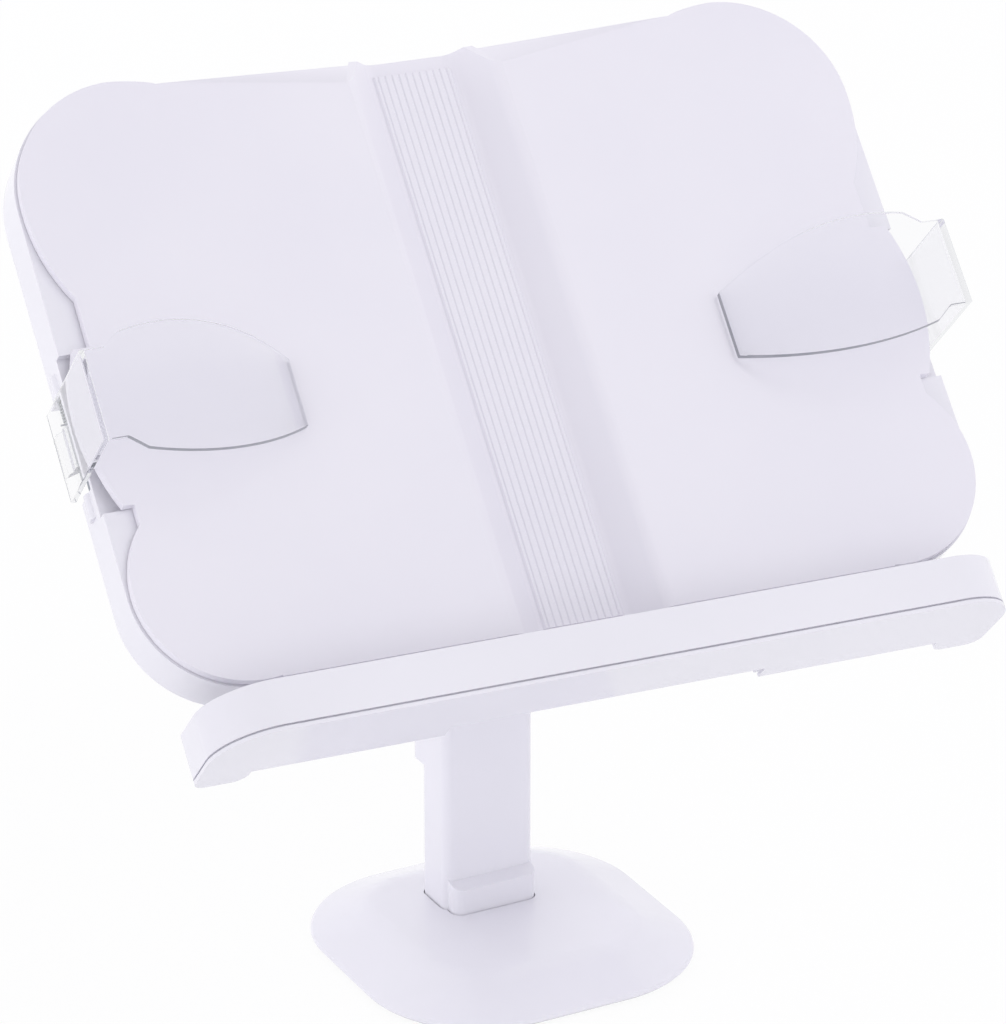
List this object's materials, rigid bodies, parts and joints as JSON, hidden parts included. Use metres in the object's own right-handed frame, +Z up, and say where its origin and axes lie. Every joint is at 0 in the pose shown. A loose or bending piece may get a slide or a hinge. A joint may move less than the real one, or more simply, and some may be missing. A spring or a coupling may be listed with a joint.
{
  "type": "adjustable cookbook stand",
  "caption": "Book stand with a leaning two-page board, ribbed spine channel, lipped ledge, clear page clips and a telescopic column on a square foot.",
  "frame": {"origin": "on the floor, in the board's middle plane, beside the middle of the foot", "axes": "+X to the right as a reader sees the board, +Y away from the reader, +Z up"},
  "size_m": [0.352, 0.2273, 0.3533],
  "materials": {
    "white_shell": "glossy",
    "clear_clip": "clear, polished",
    "steel": "zinc plated",
    "mast_tube": "satin anodised",
    "brass": "turned",
    "rubber": "matte",
    "nylon": "matte"
  },
  "bodies": {
    "base": {"base_cover": "white_shell", "base_weight": "steel", "base_plate": "white_shell", "base_pad": "rubber", "base_screws": "steel", "column_sleeve": "white_shell", "column_bolts": "steel", "sleeve_collar": "white_shell", "clamp_shoe": "nylon", "clamp_insert": "brass"},
    "knob": {"clamp_knob": "white_shell"},
    "mast": {"mast": "mast_tube", "mast_shoe": "nylon", "mast_plug": "nylon", "mast_pins": "steel"},
    "head": {"mast_head": "white_shell", "swivel_bolt": "steel"},
    "board": {"tilt_axle": "steel", "axle_nut": "steel", "friction_washers": "nylon", "hinge_bracket": "white_shell", "bracket_screws": "steel", "face_panel": "white_shell", "spine_strip": "white_shell", "board_frame": "white_shell", "back_cover": "white_shell", "panel_screws": "steel", "cover_screws": "steel", "ledge_tray": "white_shell", "ledge_cover": "white_shell", "ledge_screws": "steel", "left_clip_pin": "steel", "left_clip_spring": "steel", "right_clip_pin": "steel", "right_clip_spring": "steel"},
    "left_clip": {"left_clip": "clear_clip"},
    "right_clip": {"right_clip": "clear_clip"}
  },
  "joints": [
    {"name": "clamp_turn", "type": "hinge", "parent": "base", "child": "knob", "pos_m": [-0.00154, 0.04004, 0.088], "axis": [-0.0785, 0.9969, 0], "range_deg": [0, 180]},
    {"name": "height_slide", "type": "slide", "parent": "base", "child": "mast", "axis": [0, 0, 1], "range_m": [0, 0.06]},
    {"name": "swivel_turn", "type": "hinge", "parent": "mast", "child": "head", "pos_m": [0, 0.0205, 0.2135], "axis": [0, 0, 1], "range_deg": [-40.5, 49.5]},
    {"name": "board_tilt", "type": "hinge", "parent": "head", "child": "board", "pos_m": [0, 0.0205, 0.2325], "axis": [1, 0, 0], "range_deg": [-35, 35]},
    {"name": "left_clip_swing", "type": "hinge", "parent": "board", "child": "left_clip", "pos_m": [-0.1692, -0.00496, 0.24381], "axis": [0, -0.7071, -0.7071], "range_deg": [0, 55], "stiffness_Nm_per_rad": 0.12, "springref_deg": -57.3},
    {"name": "right_clip_swing", "type": "hinge", "parent": "board", "child": "right_clip", "pos_m": [0.1692, -0.00496, 0.24381], "axis": [0, 0.7071, 0.7071], "range_deg": [0, 55], "stiffness_Nm_per_rad": 0.12, "springref_deg": -57.3}
  ]
}
